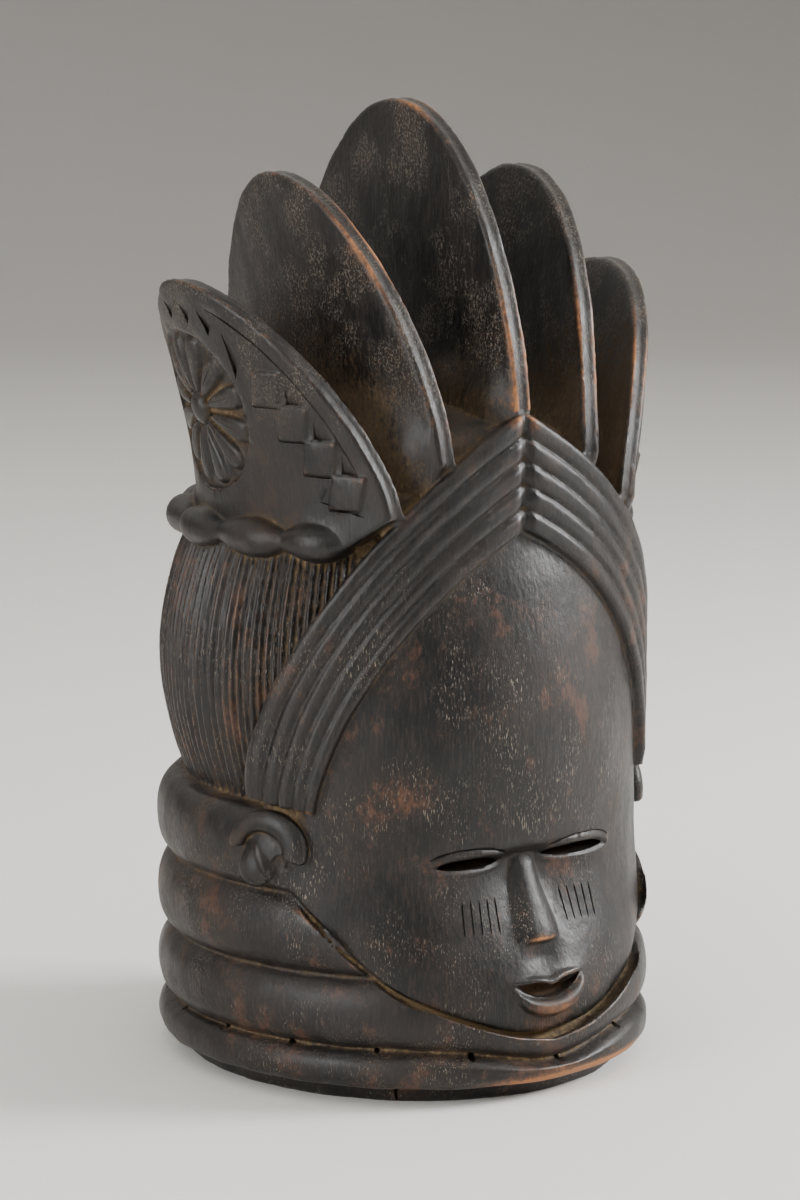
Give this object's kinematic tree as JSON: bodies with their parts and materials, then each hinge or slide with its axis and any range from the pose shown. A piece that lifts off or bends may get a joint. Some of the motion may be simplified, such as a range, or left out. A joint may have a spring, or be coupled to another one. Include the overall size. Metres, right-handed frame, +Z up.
{
  "type": "helmet mask",
  "caption": "Carved wooden helmet mask with stacked neck rings, a small face under a ridged headband, combed hair, a beaded roll and a crest of tall blades, hollow to fit over the head.",
  "frame": {"origin": "on the ground at the middle of the mask's width and depth", "axes": "+Z up, the face looks towards -Y, the wearer's left side is at +X"},
  "size_m": [0.2462, 0.237, 0.4353],
  "materials": {
    "carved_wood": "carved hardwood, dyed black and oiled, worn to brown and orange wood on edges, with brown dirt in the grooves"
  },
  "bodies": {
    "root": {"helmet_mask": "carved_wood"}
  },
  "joints": []
}
